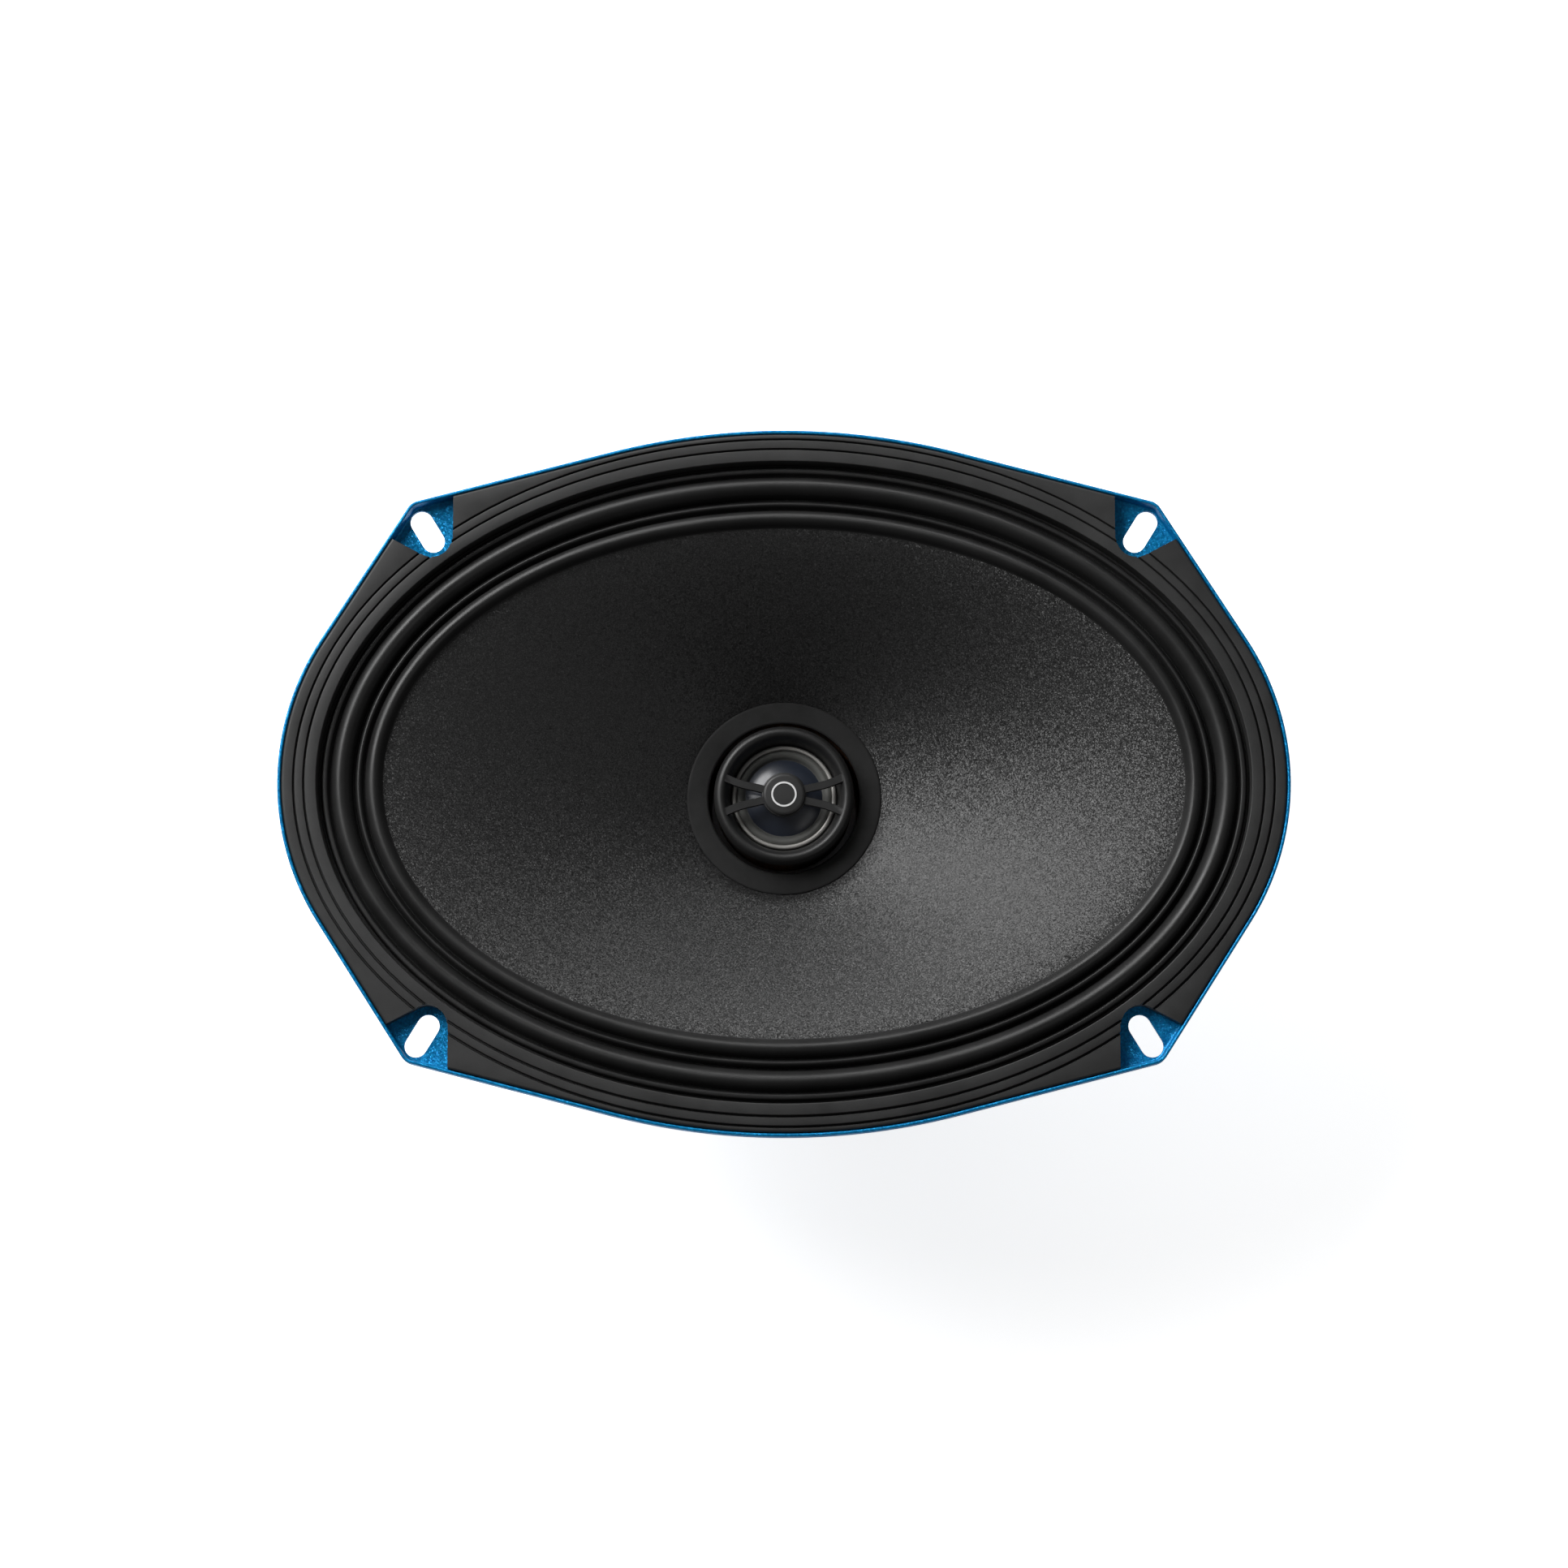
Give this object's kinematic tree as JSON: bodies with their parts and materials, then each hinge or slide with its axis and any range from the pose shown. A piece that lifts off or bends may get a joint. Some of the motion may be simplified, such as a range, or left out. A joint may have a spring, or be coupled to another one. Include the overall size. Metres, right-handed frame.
{
  "type": "coaxial car speaker",
  "caption": "Oval coaxial car speaker with a stamped frame, coned woofer and a dome tweeter held on the pole piece, joined by the corner slots of its flange.",
  "frame": {"origin": "centre of the magnet's flat back face, on the sound axis", "axes": "+Z along the sound axis out of the cone, +X along the long side, +Y across it, terminals on the -Y side"},
  "size_m": [0.235, 0.1656, 0.086],
  "materials": {
    "basket": "metallic blue paint with fine orange peel",
    "front_gasket": "satin black moulded rubber",
    "surround": "satin black rubber",
    "cone": "black mica-filled polypropylene, fine sparkle",
    "dust_ring": "matt black",
    "spider": "resin-coated woven cloth",
    "voice_coil_former": "amber film",
    "copper_wire": "enamelled copper wire",
    "zinc_steel": "zinc plated steel",
    "ferrite": "sintered ferrite, ground faces",
    "nickel_magnet": "nickel plated",
    "tweeter_plastic": "satin black moulded plastic",
    "hub_badge": "satin black with one plain printed ring",
    "tweeter_trim": "satin, slightly warm",
    "tweeter_dome": "glossy dark film",
    "tweeter_surround": "satin black",
    "terminal_board": "brown pressed board",
    "terminal_metal": "plain brass",
    "capacitor_sleeve": "shrink sleeve",
    "tinsel": "braided copper",
    "red_wire": "extruded insulation",
    "black_wire": "extruded insulation"
  },
  "bodies": {
    "frame": {"basket": "basket", "front_gasket": "front_gasket", "surround": "surround", "spider": "spider", "front_plate": "zinc_steel", "yoke": "zinc_steel", "plate_screw_1": "zinc_steel", "plate_screw_2": "zinc_steel", "plate_screw_3": "zinc_steel", "plate_screw_4": "zinc_steel", "terminal_rivet": "zinc_steel", "tweeter_yoke": "zinc_steel", "tweeter_pole_plate": "zinc_steel", "ferrite_magnet": "ferrite", "tweeter_magnet": "nickel_magnet", "tweeter_post": "tweeter_plastic", "tweeter_housing": "tweeter_plastic", "tweeter_bezel": "tweeter_plastic", "diaphragm_ring": "tweeter_plastic", "hub_badge": "hub_badge", "trim_ring": "tweeter_trim", "tweeter_surround": "tweeter_surround", "terminal_board": "terminal_board", "terminal_positive": "terminal_metal", "terminal_negative": "terminal_metal", "terminal_positive_eyelet": "terminal_metal", "terminal_negative_eyelet": "terminal_metal", "crossover_capacitor": "capacitor_sleeve", "tinsel_lead_positive": "tinsel", "tinsel_lead_negative": "tinsel", "tweeter_wire_positive": "red_wire", "tweeter_wire_negative": "black_wire"},
    "cone_assembly": {"cone": "cone", "dust_ring": "dust_ring", "voice_coil_former": "voice_coil_former", "voice_coil_winding": "copper_wire"},
    "tweeter_diaphragm": {"tweeter_dome": "tweeter_dome", "tweeter_coil": "copper_wire"}
  },
  "joints": [
    {"name": "cone_travel", "type": "slide", "parent": "frame", "child": "cone_assembly", "axis": [0, 0, 1], "range_m": [-0.005, 0.005], "stiffness_N_per_m": 3000, "deforming": ["surround", "spider", "tinsel_lead_positive", "tinsel_lead_negative"]},
    {"name": "dome_travel", "type": "slide", "parent": "frame", "child": "tweeter_diaphragm", "axis": [0, 0, 1], "range_m": [-0.0003, 0.0003], "stiffness_N_per_m": 50, "deforming": ["tweeter_surround"]}
  ]
}
